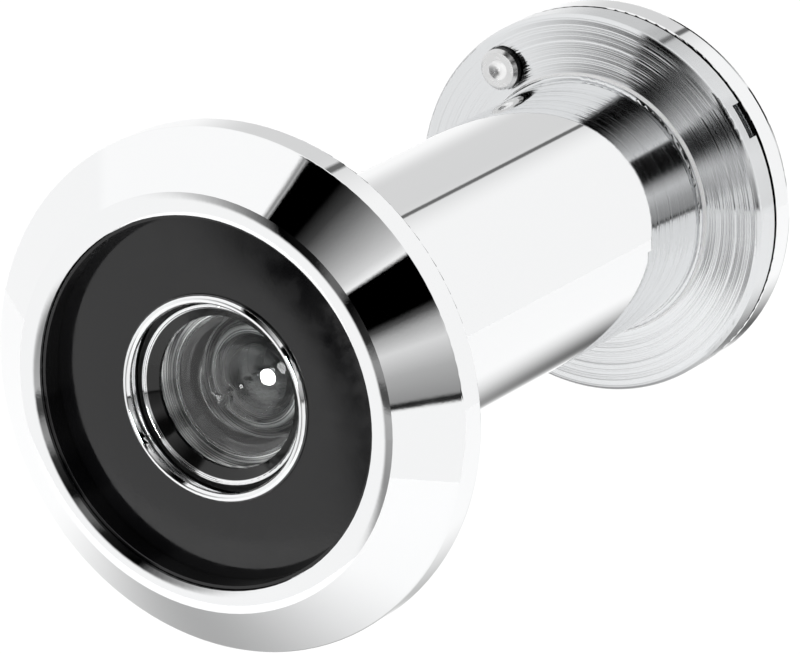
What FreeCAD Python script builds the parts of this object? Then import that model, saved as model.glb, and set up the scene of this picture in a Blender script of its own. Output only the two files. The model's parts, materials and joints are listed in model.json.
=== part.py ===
import FreeCAD, Part
import math
import os

import Sketcher

# A door viewer for a 14 mm hole, closed down to its thinnest door.
# Frame: +Y runs along the barrel from the outdoor flange to the indoor one, +Z is up and
# the origin is on the barrel's axis, where the outdoor flange seats on the door.
# Nearly every piece is turned, so it is an outline of (radius, station) corners in the
# XY plane, revolved about Y. A station is the distance along +Y from the origin.

SIZES = {
    # outdoor flange and barrel
    "barrel_diameter": 14.0,
    "front_flange_diameter": 27.8,
    "front_rim_width": 1.65,
    "lip_height": 4.05,
    "lip_crown": 0.06,
    "lip_outer_diameter": 22.2,
    "recess_diameter": 19.8,
    "recess_floor": 1.5,
    "rim_rounding": 0.15,
    "barrel_end": 34.84,
    "barrel_end_chamfer": 0.12,
    # bore of the front barrel
    "cell_bore_diameter": 11.6,
    "cell_seat": 3.6,
    "cell_web": 0.8,
    "cell_web_opening": 8.4,
    "barrel_bore_diameter": 12.3,
    # screw thread, M12 x 1
    "thread_diameter": 12.0,
    "thread_pitch": 1.0,
    "male_root_diameter": 11.0,
    "female_crest_diameter": 11.3,
    "male_crest_flat": 0.2,
    "female_crest_flat": 0.2,
    "flank_angle": 30.0,
    "female_thread_start": 27.1,
    "female_thread_end": 33.6,
    "female_helix_start": 26.0,
    "male_helix_start": 4.5,
    "helix_overrun": 0.1,
    "male_thread_end": 34.2,
    # rear barrel and indoor flange
    "rear_barrel_start": 4.9,
    "rear_bore_diameter": 9.5,
    "shortest_door": 35.3,
    "collar_diameter": 14.4,
    "collar_width": 0.44,
    "collar_rounding": 0.15,
    "rear_flange_diameter": 21.1,
    "rear_flange_width": 1.7,
    "rear_face_rounding": 0.3,
    "rear_edge_rounding": 0.12,
    "eyepiece_seat": 36.3,
    "eyepiece_opening": 8.0,
    "slot_width": 2.0,
    "slot_depth": 0.8,
    "slot_inner_radius": 6.6,
    "slot_angle": 33.0,
    "slot_overrun": 0.5,
    # black dress ring in the recess
    "dress_ring_inner": 11.04,
    "dress_ring_outer": 19.72,
    "dress_ring_face": 2.98,
    "dress_ring_edge": 2.7,
    "dress_ring_dome": 0.07,
    "dress_wall_front": 3.82,
    "dress_wall_inner": 19.4,
    # lens bezel and seal
    "bezel_diameter": 11.0,
    "bezel_bore": 10.0,
    "bezel_height": 3.05,
    "bezel_crown": 0.22,
    "bezel_flange_back": 2.2,
    "bezel_skirt_outer": 11.58,
    "bezel_skirt_inner": 10.62,
    "bezel_skirt_end": 1.0,
    "seal_inner": 9.72,
    "seal_outer": 10.56,
    "seal_back": 1.8,
    # lens cell, with the stack of three lenses and two spacers in it
    "cell_nose_diameter": 10.56,
    "cell_body_diameter": 11.56,
    "cell_front": 1.78,
    "cell_counterbore": 9.66,
    "cell_counterbore_end": 0.9,
    "cell_bore": 8.7,
    "cell_shoulder": 3.0,
    "cell_shoulder_opening": 6.6,
    "stack_diameter": 8.6,
    "retainer_diameter": 9.6,
    "retainer_height": 2.35,
    "retainer_crown": 0.08,
    "retainer_crown_inner": 9.2,
    "retainer_lip_inner": 8.1,
    "retainer_lip_front": 1.9,
    "retainer_lip_back": 1.67,
    "retainer_skirt_inner": 8.7,
    "retainer_skirt_end": 0.95,
    "objective_edge": 1.65,
    "objective_bulge": 0.62,
    "objective_dome_diameter": 8.0,
    "objective_back": 0.42,
    "objective_hollow_diameter": 6.8,
    "objective_hollow_depth": 1.6,
    "front_spacer_end": 0.76,
    "front_spacer_inner": 7.0,
    "second_lens_end": 1.72,
    "second_hollow_diameter": 5.6,
    "second_hollow_depth": 0.55,
    "rear_spacer_end": 2.04,
    "rear_spacer_inner": 5.4,
    "aperture_stop_end": 2.2,
    "aperture_opening": 4.4,
    "third_lens_end": 2.98,
    "third_bulge": 0.3,
    "stack_gap": 0.01,
    # eyepiece group in the rear barrel
    "eyepiece_diameter": 9.42,
    "eyepiece_back": 36.28,
    "eyepiece_front": 34.9,
    "eyepiece_dome_diameter": 7.8,
    "eyepiece_back_bulge": 0.5,
    "eyepiece_front_bulge": 0.8,
    "eyepiece_ring_outer": 9.5,
    "eyepiece_ring_inner": 7.8,
    "eyepiece_ring_front": 33.2,
    "eyepiece_ring_back": 34.88,
    "ring_slot_width": 1.0,
    "ring_slot_depth": 0.6,
    "sleeve_outer": 9.42,
    "sleeve_inner": 8.6,
    "sleeve_front": 11.5,
    "sleeve_back": 33.15,
    "stop_front": 10.8,
    "stop_back": 11.48,
    "stop_opening": 5.0,
    # privacy cover, its rivet and spring washer
    "cover_gap": 0.1,
    "cover_width": 1.9,
    "cover_diameter": 21.1,
    "cover_back_rounding": 0.55,
    "cover_front_rounding": 0.15,
    "rivet_radius": 8.7,
    "rivet_angle": 128.0,
    "rivet_diameter": 1.6,
    "rivet_hole_diameter": 1.7,
    "rivet_head_diameter": 2.3,
    "rivet_head_proud": 0.65,
    "rivet_head_sink": 0.3,
    "rivet_head_recess": 2.44,
    "rivet_head_chamfer": 0.18,
    "rivet_dimple_diameter": 1.1,
    "rivet_dimple_depth": 0.14,
    "rivet_back_diameter": 2.4,
    "rivet_back_sink": 0.6,
    "rivet_back_bulge": 0.12,
    "washer_recess_diameter": 3.2,
    "washer_recess_depth": 0.4,
    "washer_inner": 1.8,
    "washer_outer": 3.0,
    "washer_sheet": 0.18,
    "washer_clearance": 0.02,
}

doc = FreeCAD.newDocument("door_viewer")
sheet = doc.addObject("Spreadsheet::Sheet", "Sizes")
for row, (alias, number) in enumerate(SIZES.items(), start=1):
    sheet.set(f"A{row}", alias)
    sheet.set(f"B{row}", str(number))
    sheet.setAlias(f"B{row}", alias)
doc.recompute()


class Size:
    """A length that knows its number and the sheet expression it comes from."""

    def __init__(self, value, text):
        self.value = value
        self.text = text

    def __add__(self, other):
        return Size(self.value + other.value, f"({self.text} + {other.text})")

    def __sub__(self, other):
        return Size(self.value - other.value, f"({self.text} - {other.text})")

    def __mul__(self, factor):
        return Size(self.value * factor, f"{self.text} * {factor}")

    def __neg__(self):
        return Size(-self.value, f"-({self.text})")


def size(alias):
    return Size(SIZES[alias], f"Sizes.{alias}")


def half(alias):
    return size(alias) * 0.5


AXIS = Size(0.0, "0")

# ways a side of an outline can be curved; a straight side has no entry
DOME = "dome"
CROWN = "crown"


def origin_plane(body, role):
    return next(item for item in body.Origin.OriginFeatures if item.Role == role)


def new_sketch(body, name, role, turn=0.0, offset=None):
    """A sketch on one of the body's origin planes, turned about and moved along its normal."""
    sketch = body.newObject("Sketcher::SketchObject", name)
    sketch.AttachmentSupport = [(origin_plane(body, role), "")]
    sketch.MapMode = "FlatFace"
    turned = FreeCAD.Rotation(FreeCAD.Vector(0, 0, 1), turn)
    sketch.AttachmentOffset = FreeCAD.Placement(FreeCAD.Vector(), turned)
    if offset is not None:
        sketch.setExpression("AttachmentOffset.Base.z", offset.text)
    return sketch


def arc_middle(start, end, bulge):
    """The middle of an arc that stands bulge to the left of the chord from start to end."""
    chord = end - start
    left = FreeCAD.Vector(-chord.y, chord.x, 0).normalize()
    return (start + end) * 0.5 + left * bulge


def dome_middle(start, end):
    """A point on the arc from start to end whose centre is on the sketch's vertical axis."""
    centre_y = (end.y**2 + end.x**2 - start.y**2 - start.x**2) / (2 * (end.y - start.y))
    centre = FreeCAD.Vector(0, centre_y, 0)
    outwards = (start + end) * 0.5 - centre
    return centre + outwards.normalize() * (start - centre).Length


def add_outline(sketch, corners, curves=None):
    """Draw a closed outline whose corners are pairs of Size.

    curves maps a side's number to DOME, an arc about the vertical axis, or to
    (CROWN, bulge), an arc that stands bulge to the left of its chord.
    """
    curves = curves or {}
    points = [FreeCAD.Vector(across.value, along.value, 0) for across, along in corners]
    count = len(points)
    first = []
    last = []
    for side in range(count):
        start, end = points[side], points[(side + 1) % count]
        curve = curves.get(side)
        if curve is None:
            sketch.addGeometry(Part.LineSegment(start, end))
            backwards = False
        else:
            if curve == DOME:
                middle = dome_middle(start, end)
            else:
                middle = arc_middle(start, end, curve[1].value)
            # a sketch's arc runs anticlockwise, so a clockwise one is drawn from its other end
            backwards = (middle - start).cross(end - middle).z < 0
            ends = (end, start) if backwards else (start, end)
            sketch.addGeometry(Part.Arc(ends[0], middle, ends[1]))
        first.append(2 if backwards else 1)
        last.append(1 if backwards else 2)
    for side in range(count):
        following = (side + 1) % count
        joint = Sketcher.Constraint("Coincident", side, last[side], following, first[following])
        sketch.addConstraint(joint)
    for side, (across, along) in enumerate(corners):
        for kind, length in (("DistanceX", across), ("DistanceY", along)):
            pin_corner(sketch, kind, side, first[side], length)
    for side, curve in curves.items():
        if curve == DOME:
            sketch.addConstraint(Sketcher.Constraint("PointOnObject", side, 3, -2))
        else:
            bound_radius(sketch, side, corners, curve[1])


def pin_corner(sketch, kind, side, end, length):
    """Fix one coordinate of a side's end, measured from the sketch's origin."""
    if abs(length.value) < 1e-9:
        axis = -2 if kind == "DistanceX" else -1
        sketch.addConstraint(Sketcher.Constraint("PointOnObject", side, end, axis))
        return
    if length.value > 0:
        ends = (-1, 1, side, end)
        distance = length
    else:
        ends = (side, end, -1, 1)
        distance = -length
    number = sketch.addConstraint(Sketcher.Constraint(kind, *ends, distance.value))
    sketch.setExpression(f"Constraints[{number}]", distance.text)


def bound_radius(sketch, side, corners, bulge):
    """Bind an arc's radius to its chord and bulge."""
    (x1, y1), (x2, y2) = corners[side], corners[(side + 1) % len(corners)]
    square = f"(({x2.text} - {x1.text})^2 + ({y2.text} - {y1.text})^2)"
    radius = f"({square} / 4 + ({bulge.text})^2) / (2 * abs({bulge.text}))"
    number = sketch.addConstraint(
        Sketcher.Constraint("Radius", side, sketch.Geometry[side].Radius)
    )
    sketch.setExpression(f"Constraints[{number}]", radius)


def new_body(label):
    body = doc.addObject("PartDesign::Body", label)
    body.Label = label
    return body


def turned(label, corners, curves=None):
    """A body whose outline is revolved about its own Y axis."""
    body = new_body(label)
    sketch = new_sketch(body, f"{label}_outline", "XY_Plane")
    add_outline(sketch, corners, curves)
    revolution = body.newObject("PartDesign::Revolution", f"{label}_turned")
    revolution.Profile = sketch
    revolution.ReferenceAxis = (sketch, ["V_Axis"])
    revolution.Angle = 360
    doc.recompute()
    return body


def make_tube(label, inner, outer, front, back):
    """A plain ring or tube between two radii and two stations."""
    return turned(label, [(inner, front), (outer, front), (outer, back), (inner, back)])


def must_shrink(body, before):
    """Stop if the last cut took nothing away."""
    if body.Shape.Volume > before - 1e-4:
        raise RuntimeError(f"{body.Label}: {body.Tip.Name} cut nothing")


def cut_helix(body, name, corners, height):
    """Cut a right-hand thread groove of the given section, wound about Y."""
    before = body.Shape.Volume
    section = new_sketch(body, f"{name}_section", "XY_Plane")
    add_outline(section, corners)
    helix = body.newObject("PartDesign::SubtractiveHelix", name)
    helix.Profile = section
    helix.ReferenceAxis = (section, ["V_Axis"])
    helix.Mode = 0
    helix.setExpression("Pitch", "Sizes.thread_pitch")
    helix.setExpression("Height", height.text)
    doc.recompute()
    must_shrink(body, before)


def cut_pocket(body, sketch, depth, towards_front):
    """Cut a sketch drawn on an XZ plane into the body; that plane's normal is -Y."""
    before = body.Shape.Volume
    pocket = body.newObject("PartDesign::Pocket", f"{sketch.Name}_cut")
    pocket.Profile = sketch
    pocket.setExpression("Length", depth.text)
    pocket.Reversed = towards_front
    doc.recompute()
    must_shrink(body, before)
    return pocket


def add_circle(sketch, centre, diameter):
    """A circle whose centre is a pair of Size."""
    across, along = centre
    middle = FreeCAD.Vector(across.value, along.value, 0)
    up = FreeCAD.Vector(0, 0, 1)
    circle = sketch.addGeometry(Part.Circle(middle, up, diameter.value / 2))
    for kind, length in (("DistanceX", across), ("DistanceY", along)):
        pin_corner(sketch, kind, circle, 3, length)
    number = sketch.addConstraint(Sketcher.Constraint("Diameter", circle, diameter.value))
    sketch.setExpression(f"Constraints[{number}]", diameter.text)


def drill(body, name, plane_station, diameter, depth, towards_front):
    """Drill a round hole on the rivet's axis from a plane at right angles to Y."""
    sketch = new_sketch(body, name, "XZ_Plane", offset=-plane_station)
    add_circle(sketch, RIVET_CENTRE, diameter)
    cut_pocket(body, sketch, depth, towards_front)


def cut_radial_slots(body, name, turn, across, inner, outer, plane_station, depth, towards_front):
    """Cut two opposite slots that run outwards from inner to outer."""
    sketch = new_sketch(body, name, "XZ_Plane", turn, -plane_station)
    side = across * 0.5
    add_outline(sketch, [(inner, -side), (outer, -side), (outer, side), (inner, side)])
    pocket = cut_pocket(body, sketch, depth, towards_front)
    before = body.Shape.Volume
    pattern = body.newObject("PartDesign::PolarPattern", f"{name}_pair")
    pattern.Originals = [pocket]
    pattern.Axis = (sketch, ["N_Axis"])
    pattern.Angle = 360
    pattern.Occurrences = 2
    body.Tip = pattern
    doc.recompute()
    must_shrink(body, before)


def dress(body, kind, name, edges, amount):
    """Fillet or chamfer the body's edges, given by their names on its tip."""
    base = body.Tip
    feature = body.newObject(f"PartDesign::{kind}", name)
    feature.Base = (base, edges)
    feature.setExpression("Radius" if kind == "Fillet" else "Size", amount.text)
    doc.recompute()


def ring_edges(body, radius, station):
    """Names of the full circles about Y with this radius at this station."""
    found = []
    for number, edge in enumerate(body.Shape.Edges, start=1):
        curve = edge.Curve
        if not isinstance(curve, Part.Circle) or abs(abs(curve.Axis.y) - 1) > 1e-6:
            continue
        off_axis = math.hypot(curve.Center.x, curve.Center.z)
        right_place = abs(curve.Center.y - station.value) < 1e-4 and off_axis < 1e-4
        if right_place and abs(curve.Radius - radius.value) < 1e-4:
            found.append(f"Edge{number}")
    if not found:
        raise RuntimeError(f"{body.Label}: no ring of radius {radius.value}")
    return found


RIVET_ANGLE = math.radians(SIZES["rivet_angle"])
RIVET_CENTRE = (
    Size(
        SIZES["rivet_radius"] * math.cos(RIVET_ANGLE),
        "(Sizes.rivet_radius * cos(Sizes.rivet_angle))",
    ),
    Size(
        SIZES["rivet_radius"] * math.sin(RIVET_ANGLE),
        "(Sizes.rivet_radius * sin(Sizes.rivet_angle))",
    ),
)
REAR_FACE = size("shortest_door") + size("rear_flange_width")
COVER_FRONT = REAR_FACE + size("cover_gap")
COVER_BACK = COVER_FRONT + size("cover_width")
FLANK_SLOPE = math.tan(math.radians(SIZES["flank_angle"]))


# --- the outdoor half: flange and barrel in one turned piece ---


def make_front_barrel():
    lip_station = -size("lip_height")
    front_rim = -size("front_rim_width")
    flange = half("front_flange_diameter")
    barrel = half("barrel_diameter")
    corners = [
        (half("cell_bore_diameter"), -size("recess_floor")),
        (half("recess_diameter"), -size("recess_floor")),
        (half("recess_diameter"), lip_station),
        (half("lip_outer_diameter"), lip_station),
        (flange, front_rim),
        (flange, AXIS),
        (barrel, AXIS),
        (barrel, size("barrel_end")),
        (half("barrel_bore_diameter"), size("barrel_end")),
        (half("barrel_bore_diameter"), size("female_thread_end")),
        (half("female_crest_diameter"), size("female_thread_end")),
        (half("female_crest_diameter"), size("female_thread_start")),
        (half("barrel_bore_diameter"), size("female_thread_start")),
        (half("barrel_bore_diameter"), size("cell_seat") + size("cell_web")),
        (half("cell_web_opening"), size("cell_seat") + size("cell_web")),
        (half("cell_web_opening"), size("cell_seat")),
        (half("cell_bore_diameter"), size("cell_seat")),
    ]
    body = turned("front_barrel", corners, {2: (CROWN, -size("lip_crown"))})
    rings = ring_edges(body, flange, front_rim) + ring_edges(body, flange, AXIS)
    dress(body, "Fillet", "rim_rounding", rings, size("rim_rounding"))
    end = ring_edges(body, barrel, size("barrel_end"))
    dress(body, "Chamfer", "barrel_end_chamfer", end, size("barrel_end_chamfer"))
    # the groove is cut out to the bore, and narrows towards it at the thread's flank angle
    root = half("barrel_bore_diameter")
    inside = half("female_crest_diameter") - size("helix_overrun")
    crest_half = half("thread_pitch") - half("female_crest_flat")
    rise = half("barrel_bore_diameter") - half("female_crest_diameter")
    narrow = crest_half - rise * FLANK_SLOPE
    wide = crest_half + size("helix_overrun") * FLANK_SLOPE
    middle = size("female_helix_start")
    groove = [
        (root, middle - narrow),
        (root, middle + narrow),
        (inside, middle + wide),
        (inside, middle - wide),
    ]
    height = size("female_thread_end") - size("female_helix_start") + size("thread_pitch")
    cut_helix(body, "female_thread", groove, height)
    return body


# --- the indoor half: threaded tube and flange in one turned piece ---


def make_rear_barrel():
    start = size("rear_barrel_start")
    thread = half("thread_diameter")
    flange = half("rear_flange_diameter")
    front_face = size("shortest_door")
    # the collar centres the flange in the door's hole and meets the front barrel's end
    collar = half("collar_diameter")
    collar_front = front_face - size("collar_width")
    corners = [
        (half("rear_bore_diameter"), start),
        (thread, start),
        (thread, collar_front),
        (collar, collar_front),
        (collar, front_face),
        (flange, front_face),
        (flange, REAR_FACE),
        (half("eyepiece_opening"), REAR_FACE),
        (half("eyepiece_opening"), size("eyepiece_seat")),
        (half("rear_bore_diameter"), size("eyepiece_seat")),
    ]
    body = turned("rear_barrel", corners)
    front_ring = ring_edges(body, flange, front_face)
    dress(body, "Fillet", "rear_face_rounding", front_ring, size("rear_face_rounding"))
    collar_ring = ring_edges(body, collar, collar_front)
    dress(body, "Fillet", "collar_rounding", collar_ring, size("collar_rounding"))
    back_ring = ring_edges(body, flange, REAR_FACE)
    dress(body, "Fillet", "rear_edge_rounding", back_ring, size("rear_edge_rounding"))
    hole = size("rivet_hole_diameter")
    drill(body, "rivet_hole", REAR_FACE, hole, size("rear_flange_width"), True)
    recess = size("rivet_head_recess")
    drill(body, "rivet_recess", front_face, recess, size("rivet_head_sink"), False)
    cut_radial_slots(
        body,
        "coin_slot",
        turn=SIZES["slot_angle"],
        across=size("slot_width"),
        inner=size("slot_inner_radius"),
        outer=flange + size("slot_overrun"),
        plane_station=REAR_FACE,
        depth=size("slot_depth"),
        towards_front=True,
    )
    root = half("male_root_diameter")
    outside = thread + size("helix_overrun")
    crest_half = half("thread_pitch") - half("male_crest_flat")
    narrow = crest_half - (thread - root) * FLANK_SLOPE
    wide = crest_half + size("helix_overrun") * FLANK_SLOPE
    middle = size("male_helix_start")
    groove = [
        (root, middle - narrow),
        (outside, middle - wide),
        (outside, middle + wide),
        (root, middle + narrow),
    ]
    height = size("male_thread_end") - size("male_helix_start")
    cut_helix(body, "male_thread", groove, height)
    return body


# --- dress ring, bezel and seal in the outdoor flange ---


def make_black_face_ring():
    inner = half("dress_ring_inner")
    outer = half("dress_ring_outer")
    wall = half("dress_wall_inner")
    corners = [
        (inner, -size("recess_floor")),
        (outer, -size("recess_floor")),
        (outer, -size("dress_wall_front")),
        (wall, -size("dress_wall_front")),
        (wall, -size("dress_ring_edge")),
        (inner, -size("dress_ring_face")),
    ]
    return turned("black_face_ring", corners, {4: (CROWN, size("dress_ring_dome"))})


def make_lens_bezel():
    front = -size("bezel_height")
    corners = [
        (half("bezel_skirt_inner"), size("bezel_skirt_end")),
        (half("bezel_skirt_outer"), size("bezel_skirt_end")),
        (half("bezel_skirt_outer"), -size("recess_floor")),
        (half("bezel_diameter"), -size("recess_floor")),
        (half("bezel_diameter"), front),
        (half("bezel_bore"), front),
        (half("bezel_bore"), -size("bezel_flange_back")),
        (half("bezel_skirt_inner"), -size("bezel_flange_back")),
    ]
    return turned("lens_bezel", corners, {4: (CROWN, size("bezel_crown"))})


def make_bezel_seal():
    front = size("stack_gap") - size("bezel_flange_back")
    inner = half("seal_inner")
    outer = half("seal_outer")
    back = -size("seal_back")
    corners = [(inner, back), (outer, back), (outer, front), (inner, front)]
    return turned("bezel_seal", corners, {3: (CROWN, half("stack_gap"))})


# --- lens cell and what it holds ---


def make_lens_cell():
    corners = [
        (half("cell_shoulder_opening"), size("cell_seat")),
        (half("cell_shoulder_opening"), size("cell_shoulder")),
        (half("cell_bore"), size("cell_shoulder")),
        (half("cell_bore"), -size("cell_counterbore_end")),
        (half("cell_counterbore"), -size("cell_counterbore_end")),
        (half("cell_counterbore"), -size("cell_front")),
        (half("cell_nose_diameter"), -size("cell_front")),
        (half("cell_nose_diameter"), size("bezel_skirt_end")),
        (half("cell_body_diameter"), size("bezel_skirt_end")),
        (half("cell_body_diameter"), size("cell_seat")),
    ]
    return turned("lens_cell", corners)


def make_cell_retainer():
    outer = half("retainer_diameter")
    front = -size("retainer_height")
    corners = [
        (half("retainer_skirt_inner"), -size("retainer_skirt_end")),
        (outer, -size("retainer_skirt_end")),
        (outer, front),
        (half("retainer_crown_inner"), front),
        (half("retainer_lip_inner"), -size("retainer_lip_front")),
        (half("retainer_lip_inner"), -size("retainer_lip_back")),
        (half("retainer_skirt_inner"), -size("retainer_lip_back")),
    ]
    return turned("cell_retainer", corners, {2: (CROWN, size("retainer_crown"))})


def make_objective_lens():
    rim = half("stack_diameter")
    hollow = half("objective_hollow_diameter")
    back = size("objective_back")
    corners = [
        (AXIS, -(size("objective_edge") + size("objective_bulge"))),
        (half("objective_dome_diameter"), -size("objective_edge")),
        (rim, -size("objective_edge")),
        (rim, back),
        (hollow, back),
        (AXIS, back - size("objective_hollow_depth")),
    ]
    return turned("objective_lens", corners, {0: DOME, 4: DOME})


def make_second_lens():
    rim = half("stack_diameter")
    front = size("front_spacer_end") + size("stack_gap")
    back = size("second_lens_end")
    corners = [
        (AXIS, front),
        (rim, front),
        (rim, back),
        (half("second_hollow_diameter"), back),
        (AXIS, back - size("second_hollow_depth")),
    ]
    return turned("second_lens", corners, {3: DOME})


def make_third_lens():
    rim = half("stack_diameter")
    seat = half("cell_shoulder_opening")
    front = size("aperture_stop_end") + size("stack_gap")
    back = size("third_lens_end")
    corners = [
        (AXIS, front),
        (rim, front),
        (rim, back),
        (seat, back),
        (AXIS, back + size("third_bulge")),
    ]
    return turned("third_lens", corners, {3: DOME})


# --- eyepiece group in the rear barrel ---


def make_eyepiece_lens():
    rim = half("eyepiece_diameter")
    dome = half("eyepiece_dome_diameter")
    front = size("eyepiece_front")
    back = size("eyepiece_back")
    corners = [
        (AXIS, front - size("eyepiece_front_bulge")),
        (dome, front),
        (rim, front),
        (rim, back),
        (dome, back),
        (AXIS, back + size("eyepiece_back_bulge")),
    ]
    return turned("eyepiece_lens", corners, {0: DOME, 4: DOME})


def make_eyepiece_retainer():
    inner = half("eyepiece_ring_inner")
    outer = half("eyepiece_ring_outer")
    front = size("eyepiece_ring_front")
    back = size("eyepiece_ring_back")
    body = make_tube("eyepiece_retainer", inner, outer, front, back)
    cut_radial_slots(
        body,
        "spanner_slot",
        turn=0.0,
        across=size("ring_slot_width"),
        inner=inner - size("slot_overrun"),
        outer=outer + size("slot_overrun"),
        plane_station=front,
        depth=size("ring_slot_depth"),
        towards_front=False,
    )
    return body


# --- privacy cover on its rivet ---


def make_privacy_cover():
    rim = half("cover_diameter")
    corners = [(AXIS, COVER_FRONT), (rim, COVER_FRONT), (rim, COVER_BACK), (AXIS, COVER_BACK)]
    body = turned("privacy_cover", corners)
    back_ring = ring_edges(body, rim, COVER_BACK)
    dress(body, "Fillet", "cover_back_rounding", back_ring, size("cover_back_rounding"))
    front_ring = ring_edges(body, rim, COVER_FRONT)
    dress(body, "Fillet", "cover_front_rounding", front_ring, size("cover_front_rounding"))
    drill(body, "cover_rivet_hole", COVER_BACK, size("rivet_diameter"), size("cover_width"), True)
    back_head = size("rivet_back_diameter")
    drill(body, "cover_rivet_recess", COVER_BACK, back_head, size("rivet_back_sink"), True)
    recess = size("washer_recess_diameter")
    drill(body, "washer_recess", COVER_FRONT, recess, size("washer_recess_depth"), False)
    return body


def on_rivet_axis(body):
    """Move a body that is modelled about its own axis onto the rivet's axis."""
    body.setExpression("Placement.Base.x", RIVET_CENTRE[0].text)
    body.setExpression("Placement.Base.z", RIVET_CENTRE[1].text)
    doc.recompute()
    return body


def make_pivot_rivet():
    shank = half("rivet_diameter")
    head = half("rivet_head_diameter")
    dimple = half("rivet_dimple_diameter")
    chamfer = size("rivet_head_chamfer")
    head_back = size("shortest_door") + size("rivet_head_sink")
    head_front = size("shortest_door") - size("rivet_head_proud")
    back_head = half("rivet_back_diameter")
    sunk = COVER_BACK - size("rivet_back_sink")
    corners = [
        (AXIS, head_front + size("rivet_dimple_depth")),
        (dimple, head_front),
        (head - chamfer, head_front),
        (head, head_front + chamfer),
        (head, head_back),
        (shank, head_back),
        (shank, sunk),
        (back_head, sunk),
        (back_head, COVER_BACK),
        (AXIS, COVER_BACK + size("rivet_back_bulge")),
    ]
    return on_rivet_axis(turned("pivot_rivet", corners, {0: DOME, 8: DOME}))


def make_spring_washer():
    inner = half("washer_inner")
    outer = half("washer_outer")
    low = REAR_FACE + size("washer_clearance")
    high = COVER_FRONT + size("washer_recess_depth") - size("washer_clearance")
    sheet_width = size("washer_sheet")
    corners = [
        (inner, low),
        (inner, low + sheet_width),
        (outer, high),
        (outer, high - sheet_width),
    ]
    return on_rivet_axis(turned("spring_washer", corners))


# --- plain rings and tubes ---


def make_stack_ring(label, inner, in_front, end):
    """A ring in the lens cell's bore, just behind the end of the piece in front of it."""
    front = size(in_front) + size("stack_gap")
    return make_tube(label, half(inner), half("stack_diameter"), front, size(end))


def make_carried_tube(label, inner, front, back):
    """A tube that lines the rear barrel's bore."""
    return make_tube(label, half(inner), half("sleeve_outer"), size(front), size(back))


parts = [
    make_front_barrel(),
    make_black_face_ring(),
    make_lens_bezel(),
    make_bezel_seal(),
    make_lens_cell(),
    make_cell_retainer(),
    make_objective_lens(),
    make_stack_ring("front_spacer", "front_spacer_inner", "objective_back", "front_spacer_end"),
    make_second_lens(),
    make_stack_ring("rear_spacer", "rear_spacer_inner", "second_lens_end", "rear_spacer_end"),
    make_stack_ring("aperture_stop", "aperture_opening", "rear_spacer_end", "aperture_stop_end"),
    make_third_lens(),
    make_rear_barrel(),
    make_carried_tube("field_stop", "stop_opening", "stop_front", "stop_back"),
    make_carried_tube("baffle_sleeve", "sleeve_inner", "sleeve_front", "sleeve_back"),
    make_eyepiece_retainer(),
    make_eyepiece_lens(),
    make_privacy_cover(),
    make_pivot_rivet(),
    make_spring_washer(),
]

doc.recompute()
for item in doc.Objects:
    if "Invalid" in item.State or "Error" in item.State:
        raise RuntimeError(f"{item.Name} failed: {item.State}")
for body in parts:
    shape = body.Shape
    if shape.isNull() or not shape.isValid() or len(shape.Solids) != 1:
        raise RuntimeError(f"{body.Label} isn't one valid solid")

os.makedirs("parts", exist_ok=True)
for body in parts:
    body.Shape.exportStep(f"parts/{body.Label}.step")
    print(f"{body.Label}: {body.Shape.Volume:.1f} mm3")
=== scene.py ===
import json
from math import cos, radians, sin

import bmesh
import bpy
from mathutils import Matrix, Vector


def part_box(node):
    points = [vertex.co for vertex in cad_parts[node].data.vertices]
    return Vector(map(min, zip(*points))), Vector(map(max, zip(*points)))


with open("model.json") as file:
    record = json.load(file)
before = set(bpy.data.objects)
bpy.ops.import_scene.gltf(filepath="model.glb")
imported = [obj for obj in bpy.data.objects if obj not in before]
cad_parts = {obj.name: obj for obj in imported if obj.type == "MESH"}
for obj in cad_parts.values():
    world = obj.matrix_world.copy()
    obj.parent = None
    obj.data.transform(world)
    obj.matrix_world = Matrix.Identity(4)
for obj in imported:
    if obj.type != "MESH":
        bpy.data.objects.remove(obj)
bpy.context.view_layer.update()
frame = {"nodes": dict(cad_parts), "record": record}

MM = 0.001

# places on the part, in metres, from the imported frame
MOUNTS = {mount["name"]: mount for mount in frame["record"]["mounts"]}
DOOR_HOLE_RADIUS = MOUNTS["door_hole"]["dims"]["r_mm"] * MM
INDOOR_SEAT_STATION = MOUNTS["indoor_seat"]["pos_m"][1]
FLANGE_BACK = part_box("rear_barrel")[1][1]
COVER_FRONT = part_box("privacy_cover")[0][1]
COVER_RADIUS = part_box("privacy_cover")[1][0]
RETAINER_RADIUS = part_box("cell_retainer")[1][0]

# the camera: where it aims, and where it stands from there
CAMERA_TARGET = Vector((0.0006, 0.0143, -0.0010))
CAMERA_AZIMUTH = radians(30.76)
CAMERA_ELEVATION = radians(18.26)
CAMERA_DISTANCE = 0.470
CAMERA_LENS = 405.0
CAMERA_CLIP = (0.01, 5.0)

FLOOR_DROP = 0.12
FLOOR_CENTRE = Vector((-0.1, 0.25, -FLOOR_DROP))
FLOOR_RADIUS = 0.45
FLOOR_SIDES = 96
FLOOR_LEVEL = 0.92
# soft shades on the floor, which the chrome mirrors: centre, radius, share of the tone left
SHADES = (
    (Vector((-0.05, 0.06, -FLOOR_DROP)), 0.14, 0.3),
    (Vector((-0.03, 0.215, -FLOOR_DROP)), 0.092, 0.12),
    (Vector((-0.02, 0.35, -FLOOR_DROP)), 0.11, 0.4),
)

OVERHEAD_SPREAD = radians(80)
OVERHEAD_ENERGY = 1.35
LENS_LAMP_DIRECTION = Vector((-0.1449, -0.9796, -0.1394))
LENS_LAMP_DISTANCE = 0.4
LENS_LAMP_SIZE = 0.05
LENS_LAMP_ENERGY = 0.4

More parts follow.
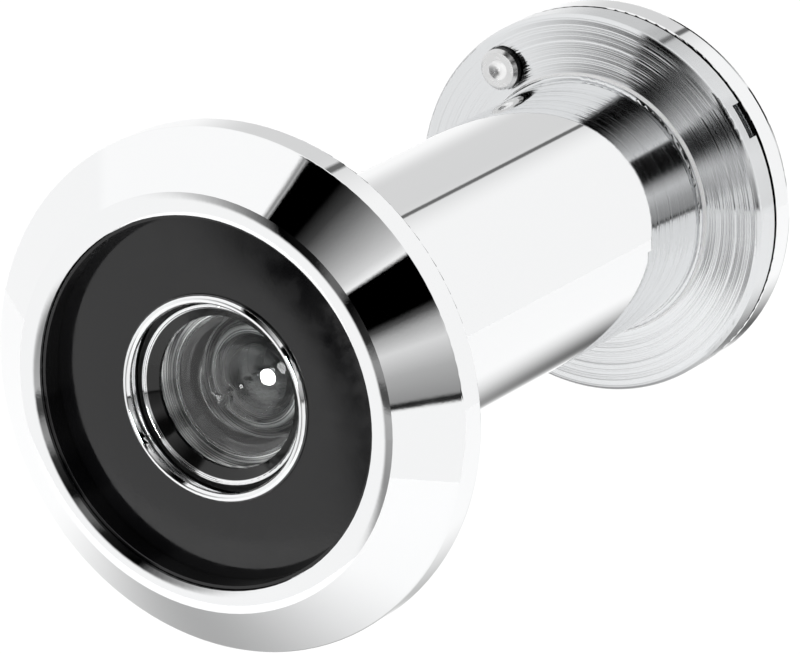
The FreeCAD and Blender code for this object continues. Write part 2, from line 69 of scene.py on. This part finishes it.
# the studio's dark openings, in the turn and tilt that build_world explains
OPENING_SIDE = radians(38)
OPENING_FADE = (0.02, 0.07)
FRONT_OPENING_END = (radians(63), radians(69))
REAR_OPENING = (radians(94), radians(150))
REAR_OPENING_SOFT = radians(2)
TONE_CHANGE = (radians(13), radians(24))
# grey tones round the barrel, as (turn in degrees, level)
STEEP_TONES = (
    (0.0, 1.0), (7.2, 1.0), (7.8, 0.02), (8.8, 0.02), (9.6, 0.30), (16.0, 0.45), (22.0, 0.74),
    (26.0, 0.42), (28.5, 0.08), (30.0, 0.0), (40.6, 0.0), (41.4, 0.95), (43.5, 0.70),
    (48.0, 0.46), (54.0, 0.19), (58.0, 0.05), (62.0, 0.0), (70.4, 0.0), (71.0, 0.45),
    (71.6, 0.2), (72.6, 1.05), (90.0, 1.05),
)
SHALLOW_TONES = (
    (-60.0, 1.0), (-40.0, 0.75), (-30.0, 0.35), (-16.0, 0.30), (4.0, 0.45), (7.0, 0.08),
    (12.0, 0.06), (15.0, 0.25), (20.0, 0.30), (27.0, 0.03), (40.0, 0.0), (44.0, 0.14),
    (49.0, 0.14), (55.0, 0.01), (70.0, 0.0), (76.0, 0.15), (86.0, 0.35), (104.0, 0.8),
    (120.0, 1.0),
)
# two dim panels: turns, how soft, the tilts over which they come in, share of the light they take
UPPER_PANEL = ((62.0, 96.0), 9.0, (70.0, 84.0), 0.28)
SEAM = ((65.0, 66.8), 0.5, (74.0, 84.0), 0.8)

CHROME = (0.90, 0.905, 0.91, 1.0)
RING_CHROME = (0.88, 0.885, 0.89, 1.0)
TURNED_CHROME = (0.74, 0.75, 0.76, 1.0)
# painted highlight colour for the collar
PAINTED_HIGHLIGHT_WHITE = (0.98, 0.98, 0.98, 1.0)
# painted shade for the joint between the indoor flange and the cover
PAINTED_GAP_SHADE = (0.005, 0.005, 0.005, 1.0)
BEVEL_BLACK = (0.004, 0.004, 0.004, 1.0)
RING_COUNT_PER_METRE = 10000.0
RING_LEAN = (0.5, 0.02)
RINGS_START = (DOOR_HOLE_RADIUS + 0.3 * MM, DOOR_HOLE_RADIUS + 0.5 * MM)
BEVEL_RADIUS = RETAINER_RADIUS - 0.25 * MM
# where the collar's painted highlight lies
COLLAR_RADII = (DOOR_HOLE_RADIUS + 0.03 * MM, DOOR_HOLE_RADIUS + 0.3 * MM)
COLLAR_STATIONS = (INDOOR_SEAT_STATION - 0.24 * MM, INDOOR_SEAT_STATION + 0.03 * MM)
EDGE_SOFT = 0.02 * MM
# where the painted shade of the joint lies
JOINT_STATION = (FLANGE_BACK + COVER_FRONT) / 2
GAP_SHADE_HALF_WIDTH = (0.11 * MM, 0.15 * MM)
GAP_SHADE_RADII = (COVER_RADIUS - 0.35 * MM, COVER_RADIUS - 0.25 * MM)
# how close the painted rings of light and shade on the nickel lie
PAINTED_GROOVE_RINGS_PER_METRE = 4500.0
GRAIN_DEPTH = 0.01 * MM


def towards_camera():
    level = cos(CAMERA_ELEVATION)
    return Vector((sin(CAMERA_AZIMUTH) * level, -cos(CAMERA_AZIMUTH) * level, sin(CAMERA_ELEVATION)))


class Graph:
    """Short ways to add and join the nodes of a material or a world."""

    def __init__(self, owner):
        owner.use_nodes = True
        self.tree = owner.node_tree
        self.tree.nodes.clear()

    def put(self, socket, value):
        if isinstance(value, bpy.types.NodeSocket):
            self.tree.links.new(value, socket)
        else:
            socket.default_value = value

    def node(self, kind, sockets=None, **settings):
        made = self.tree.nodes.new(kind)
        for name, value in settings.items():
            setattr(made, name, value)
        for name, value in (sockets or {}).items():
            self.put(made.inputs[name], value)
        return made

    def math(self, operation, *values):
        made = self.node("ShaderNodeMath", operation=operation)
        for socket, value in zip(made.inputs, values):
            self.put(socket, value)
        return made.outputs[0]

    def vector(self, operation, *values):
        made = self.node("ShaderNodeVectorMath", operation=operation)
        for socket, value in zip(made.inputs, values):
            self.put(socket, value)
        return made.outputs

    def axes(self, vector):
        return self.node("ShaderNodeSeparateXYZ", {"Vector": vector}).outputs

    def mix(self, factor, low, high):
        """Go from colour low to colour high as the factor goes from 0 to 1."""
        sockets = {"Factor": factor, "A": low, "B": high}
        return self.node("ShaderNodeMix", sockets, data_type="RGBA").outputs["Result"]

    def spread(self, value, low, high, to_low=0.0, to_high=1.0, smooth=True):
        """Map value from low..high onto to_low..to_high, and hold it at the ends."""
        kind = "SMOOTHSTEP" if smooth else "LINEAR"
        sockets = {
            "Value": value,
            "From Min": low,
            "From Max": high,
            "To Min": to_low,
            "To Max": to_high,
        }
        return self.node("ShaderNodeMapRange", sockets, interpolation_type=kind).outputs[0]

    def band(self, value, low, high, soft):
        """1 between low and high and 0 outside them, with edges that are soft to either side."""
        rise = self.spread(value, low - soft, low + soft)
        fall = self.spread(value, high - soft, high + soft, 1.0, 0.0)
        return self.math("MULTIPLY", rise, fall)

    def ramp(self, value, stops):
        """A grey ramp through (place, level) stops."""
        made = self.node("ShaderNodeValToRGB", {"Fac": value})
        elements = made.color_ramp.elements
        while len(elements) < len(stops):
            elements.new(0.5)
        for element, (place, level) in zip(elements, stops):
            element.position = place
            element.color = (level, level, level, 1.0)
        return made.outputs["Color"]


# --- studio ---


def tones_over(graph, turn, stops):
    """The grey tones round the barrel, from stops of (turn in degrees, level)."""
    low, high = stops[0][0], stops[-1][0]
    place = graph.spread(turn, radians(low), radians(high), smooth=False)
    return graph.ramp(place, [((deg - low) / (high - low), level) for deg, level in stops])


def dimmed_by(graph, turn, tilt, panel):
    """The share of the light that a panel leaves."""
    turns, soft, tilts, taken = panel
    across = graph.band(turn, radians(turns[0]), radians(turns[1]), radians(soft))
    along = graph.spread(tilt, radians(tilts[0]), radians(tilts[1]))
    inside = graph.math("MULTIPLY", across, along)
    return graph.math("SUBTRACT", 1.0, graph.math("MULTIPLY", inside, taken))


def build_world():
    """A white studio with a dark opening on the camera's side, one behind the part, and two panels.

    A place in the studio is named by the surface direction that mirrors it to the camera:
    turn is that direction's angle round the barrel from +X, and tilt its angle from -Y.
    """
    world = bpy.data.worlds.new("studio")
    bpy.context.scene.world = world
    graph = Graph(world)
    direction = graph.node("ShaderNodeTexCoord").outputs["Generated"]
    mirror = graph.vector("ADD", direction, towards_camera())[0]
    parts = graph.axes(mirror)
    turn = graph.math("ARCTAN2", parts["Z"], parts["X"])
    squares = [graph.math("MULTIPLY", parts[name], parts[name]) for name in ("X", "Z")]
    across = graph.math("SQRT", graph.math("ADD", *squares))
    tilt = graph.math("ARCTAN2", across, graph.math("MULTIPLY", parts["Y"], -1.0))

    tones = graph.mix(
        graph.spread(tilt, *TONE_CHANGE),
        tones_over(graph, turn, SHALLOW_TONES),
        tones_over(graph, turn, STEEP_TONES),
    )
    # the front opening starts along a straight edge
    unit = graph.vector("NORMALIZE", mirror)[0]
    side = Vector((cos(OPENING_SIDE), 0.0, sin(OPENING_SIDE)))
    aside = graph.vector("DOT_PRODUCT", unit, side)["Value"]
    end = graph.spread(tilt, *FRONT_OPENING_END, 1.0, 0.0)
    front = graph.math("MULTIPLY", graph.spread(aside, *OPENING_FADE), end)
    rear = graph.band(tilt, *REAR_OPENING, REAR_OPENING_SOFT)
    level = graph.mix(graph.math("MAXIMUM", front, rear), (1.0, 1.0, 1.0, 1.0), tones)

    left = [dimmed_by(graph, turn, tilt, panel) for panel in (UPPER_PANEL, SEAM)]
    strength = graph.math("MULTIPLY", *left)
    light = graph.node("ShaderNodeBackground", {"Color": level, "Strength": strength})
    out = graph.node("ShaderNodeOutputWorld")
    graph.put(out.inputs["Surface"], light.outputs[0])


def build_floor():
    mesh = bpy.data.meshes.new("floor")
    bm = bmesh.new()
    bmesh.ops.create_circle(bm, cap_ends=True, radius=FLOOR_RADIUS, segments=FLOOR_SIDES)
    bm.to_mesh(mesh)
    bm.free()
    floor = bpy.data.objects.new("floor", mesh)
    floor.location = FLOOR_CENTRE
    bpy.context.scene.collection.objects.link(floor)
    material = bpy.data.materials.new("pale_floor")
    graph = Graph(material)
    tone = FLOOR_LEVEL
    for centre, radius, left in SHADES:
        away = graph.vector("DISTANCE", place(graph), centre - FLOOR_CENTRE)["Value"]
        fade = graph.spread(away, 0.0, radius, left, 1.0)
        tone = graph.math("MULTIPLY", fade, tone)
    shader = graph.node("ShaderNodeBsdfDiffuse", {"Color": tone})
    out = graph.node("ShaderNodeOutputMaterial")
    graph.put(out.inputs["Surface"], shader.outputs[0])
    mesh.materials.append(material)


def build_lights():
    """A broad light from above, which the chrome doesn't mirror, and a small lamp for the lens."""
    overhead = bpy.data.lights.new("overhead", "SUN")
    overhead.angle = OVERHEAD_SPREAD
    overhead.energy = OVERHEAD_ENERGY
    light = bpy.data.objects.new("overhead", overhead)
    light.visible_glossy = False
    bpy.context.scene.collection.objects.link(light)

    lens_lamp = bpy.data.lights.new("lens_lamp", "AREA")
    lens_lamp.shape = "DISK"
    lens_lamp.size = LENS_LAMP_SIZE
    lens_lamp.energy = LENS_LAMP_ENERGY
    light = bpy.data.objects.new("lens_lamp", lens_lamp)
    light.location = LENS_LAMP_DIRECTION * LENS_LAMP_DISTANCE
    light.rotation_euler = LENS_LAMP_DIRECTION.to_track_quat("Z", "Y").to_euler()
    light.visible_camera = False
    bpy.context.scene.collection.objects.link(light)


def build_camera():
    data = bpy.data.cameras.new("camera")
    data.lens = CAMERA_LENS
    data.clip_start, data.clip_end = CAMERA_CLIP
    camera = bpy.data.objects.new("camera", data)
    camera.location = CAMERA_TARGET + towards_camera() * CAMERA_DISTANCE
    camera.rotation_euler = (-towards_camera()).to_track_quat("-Z", "Y").to_euler()
    bpy.context.scene.collection.objects.link(camera)
    bpy.context.scene.camera = camera


# --- finishes ---


def new_surface(name, sockets):
    """A material with one principled shader, whose plain numbers are set on its own sockets."""
    material = bpy.data.materials.new(name)
    graph = Graph(material)
    shader = graph.node("ShaderNodeBsdfPrincipled", sockets)
    out = graph.node("ShaderNodeOutputMaterial")
    graph.put(out.inputs["Surface"], shader.outputs[0])
    return material, graph, shader


def place(graph):
    return graph.node("ShaderNodeTexCoord").outputs["Object"]


def noise(graph, vector, scale, detail):
    given = {"Vector": vector, "Scale": scale, "Detail": detail}
    return graph.node("ShaderNodeTexNoise", given).outputs["Fac"]


def rings(graph, value, detail):
    """Noise along one number."""
    given = {"W": value, "Scale": 1.0, "Detail": detail}
    return graph.node("ShaderNodeTexNoise", given, noise_dimensions="1D").outputs["Fac"]


def axis_radius(graph):
    """Distance from the barrel's axis, in metres."""
    xyz = graph.axes(place(graph))
    squares = [graph.math("MULTIPLY", xyz[name], xyz[name]) for name in ("X", "Z")]
    return graph.math("SQRT", graph.math("ADD", *squares))


def station(graph):
    """Distance along the barrel's axis, in metres."""
    return graph.axes(place(graph))["Y"]


def cloudy_roughness(graph, shader, scale, low, high, start=0.35):
    smudge = noise(graph, place(graph), scale, 4.0)
    graph.put(shader.inputs["Roughness"], graph.spread(smudge, start, 0.7, low, high))


def grainy(graph, shader, scale, strength):
    grain = noise(graph, place(graph), scale, 2.0)
    sockets = {"Height": grain, "Strength": strength, "Distance": GRAIN_DEPTH}
    graph.put(shader.inputs["Normal"], graph.node("ShaderNodeBump", sockets).outputs[0])


def chrome(name, colour, rough_low, rough_high, bump):
    material, graph, shader = new_surface(name, {"Metallic": 1.0, "Base Color": colour})
    cloudy_roughness(graph, shader, 260.0, rough_low, rough_high)
    grainy(graph, shader, 5200.0, bump)
    return material


def plate_with_painted_gap_shade(graph, colour):
    """The plate's colour, with painted shade: black in the narrow joint between the indoor flange
    and the cover, where shade falls.
    """
    off = graph.math("ABSOLUTE", graph.math("SUBTRACT", station(graph), JOINT_STATION))
    outside = graph.spread(off, *GAP_SHADE_HALF_WIDTH)
    inside = graph.spread(axis_radius(graph), *GAP_SHADE_RADII, 1.0, 0.0)
    return graph.mix(graph.math("MAXIMUM", outside, inside), PAINTED_GAP_SHADE, colour)


def cover_chrome(name):
    material, graph, shader = new_surface(name, {"Metallic": 1.0})
    graph.put(shader.inputs["Base Color"], plate_with_painted_gap_shade(graph, CHROME))
    cloudy_roughness(graph, shader, 260.0, 0.03, 0.08)
    return material


def nickel_with_painted_groove_light(name):
    """Nickel with fine turning grooves, whose light is painted into the colour as bright and dark
    nested rings that show through the lens.
    """
    material, graph, shader = new_surface(name, {"Metallic": 1.0})
    along = graph.math("ADD", station(graph), axis_radius(graph))
    ring = rings(graph, graph.math("MULTIPLY", along, PAINTED_GROOVE_RINGS_PER_METRE), 2.0)
    # painted highlights and shade: the colour goes from dark to bright ring by ring
    tone = graph.mix(graph.spread(ring, 0.42, 0.6), (0.16, 0.16, 0.16, 1.0), (0.95, 0.95, 0.94, 1.0))
    graph.put(shader.inputs["Base Color"], tone)
    graph.put(shader.inputs["Roughness"], graph.spread(ring, 0.3, 0.7, 0.25, 0.4))
    return material


def turned_chrome(name):
    """Plate over lathe rings, which lean outwards by different amounts."""
    material, graph, shader = new_surface(name, {"Anisotropic": 0.9, "Anisotropic Rotation": 0.25})
    tangent = graph.node("ShaderNodeTangent", direction_type="RADIAL", axis="Y")
    graph.put(shader.inputs["Tangent"], tangent.outputs[0])

    # the collar carries a painted highlight, a dull pale band, and all the rest is mirror plate
    radius = axis_radius(graph)
    painted_highlight = graph.math(
        "MULTIPLY",
        graph.band(radius, *COLLAR_RADII, EDGE_SOFT),
        graph.band(station(graph), *COLLAR_STATIONS, EDGE_SOFT),
    )
    graph.put(shader.inputs["Metallic"], graph.math("SUBTRACT", 1.0, painted_highlight))
    tone = graph.mix(painted_highlight, plate_with_painted_gap_shade(graph, TURNED_CHROME), PAINTED_HIGHLIGHT_WHITE)
    graph.put(shader.inputs["Base Color"], tone)

    ring = rings(graph, graph.math("MULTIPLY", radius, RING_COUNT_PER_METRE), 3.0)
    graph.put(shader.inputs["Roughness"], graph.spread(ring, 0.3, 0.7, 0.12, 0.22))
    lean = graph.spread(ring, 0.34, 0.6, *RING_LEAN, smooth=False)
    lean = graph.math("MULTIPLY", lean, graph.spread(radius, *RINGS_START))
    outwards = graph.vector("MULTIPLY", place(graph), (1.0, 0.0, 1.0))[0]
    outwards = graph.vector("NORMALIZE", outwards)[0]
    leaned = graph.node("ShaderNodeVectorMath", {0: outwards, "Scale": lean}, operation="SCALE")
    normal = graph.node("ShaderNodeNewGeometry").outputs["Normal"]
    total = graph.vector("ADD", normal, leaned.outputs[0])[0]
    graph.put(shader.inputs["Normal"], graph.vector("NORMALIZE", total)[0])
    return material


def edge_chrome(name):
    """Chrome on the ring's edge, and black on its bevel towards the lens."""
    material, graph, shader = new_surface(name, {})
    edge = graph.spread(axis_radius(graph), BEVEL_RADIUS - EDGE_SOFT, BEVEL_RADIUS + EDGE_SOFT)
    graph.put(shader.inputs["Metallic"], edge)
    graph.put(shader.inputs["Base Color"], graph.mix(edge, BEVEL_BLACK, RING_CHROME))
    cloudy_roughness(graph, shader, 900.0, 0.06, 0.16)
    return material


def rivet_with_painted_shade(name):
    """Bright on the faces that look along the barrel, and painted shade that makes the sides dark.
    """
    material, graph, shader = new_surface(name, {"Metallic": 1.0})
    normal = graph.node("ShaderNodeNewGeometry").outputs["Normal"]
    facing = graph.math("ABSOLUTE", graph.axes(normal)["Y"])
    # painted shade on the sides
    tone = graph.mix(graph.spread(facing, 0.5, 0.8), (0.01, 0.01, 0.01, 1.0), (0.9, 0.9, 0.9, 1.0))
    graph.put(shader.inputs["Base Color"], tone)
    cloudy_roughness(graph, shader, 2500.0, 0.22, 0.38, start=0.3)
    return material


def clear_glass(name):
    sockets = {"Transmission Weight": 1.0, "IOR": 1.52, "Roughness": 0.0}
    material, graph, shader = new_surface(name, sockets)
    cloud = noise(graph, place(graph), 500.0, 3.0)
    tone = graph.mix(cloud, (0.93, 0.95, 0.95, 1.0), (0.97, 0.97, 0.97, 1.0))
    graph.put(shader.inputs["Base Color"], tone)
    return material


def plain_detail(name, sockets, rough_low, rough_high):
    material, graph, shader = new_surface(name, sockets)
    cloudy_roughness(graph, shader, 900.0, rough_low, rough_high, start=0.3)
    grainy(graph, shader, 5400.0, 0.1)
    return material


# for each of the record's material slots: the function that makes it, and what that is given
FINISHES = {
    "chrome_plate": (chrome, CHROME, 0.015, 0.05, 0.03),
    "chrome_ring": (chrome, RING_CHROME, 0.03, 0.08, 0.05),
    "chrome_cover": (cover_chrome,),
    "turned_chrome": (turned_chrome,),
    "edge_chrome": (edge_chrome,),
    "nickel_spacer": (nickel_with_painted_groove_light,),
    "bright_steel": (rivet_with_painted_shade,),
    "optical_glass": (clear_glass,),
    "gloss_black": (plain_detail, {"Base Color": (0.004, 0.004, 0.0045, 1.0)}, 0.08, 0.16),
    "rubber_seal": (plain_detail, {"Base Color": (0.006, 0.006, 0.006, 1.0)}, 0.6, 0.8),
    "black_cell": (plain_detail, {"Base Color": (0.008, 0.008, 0.009, 1.0)}, 0.3, 0.45),
    "spring_steel": (plain_detail, {"Base Color": (0.5, 0.5, 0.5, 1.0), "Metallic": 1.0}, 0.25, 0.4),
}


def dress_nodes():
    """Give every CAD node the finish that the record names for it."""
    made = {}
    for row in frame["record"]["subparts"]:
        slot = row["material_slot"]
        if slot not in made:
            make, *given = FINISHES[slot]
            made[slot] = make(slot, *given)
        frame["nodes"][row["node"]].material_slots[0].material = made[slot]


bpy.context.scene.view_settings.view_transform = "Standard"
build_world()
build_floor()
build_lights()
build_camera()
dress_nodes()
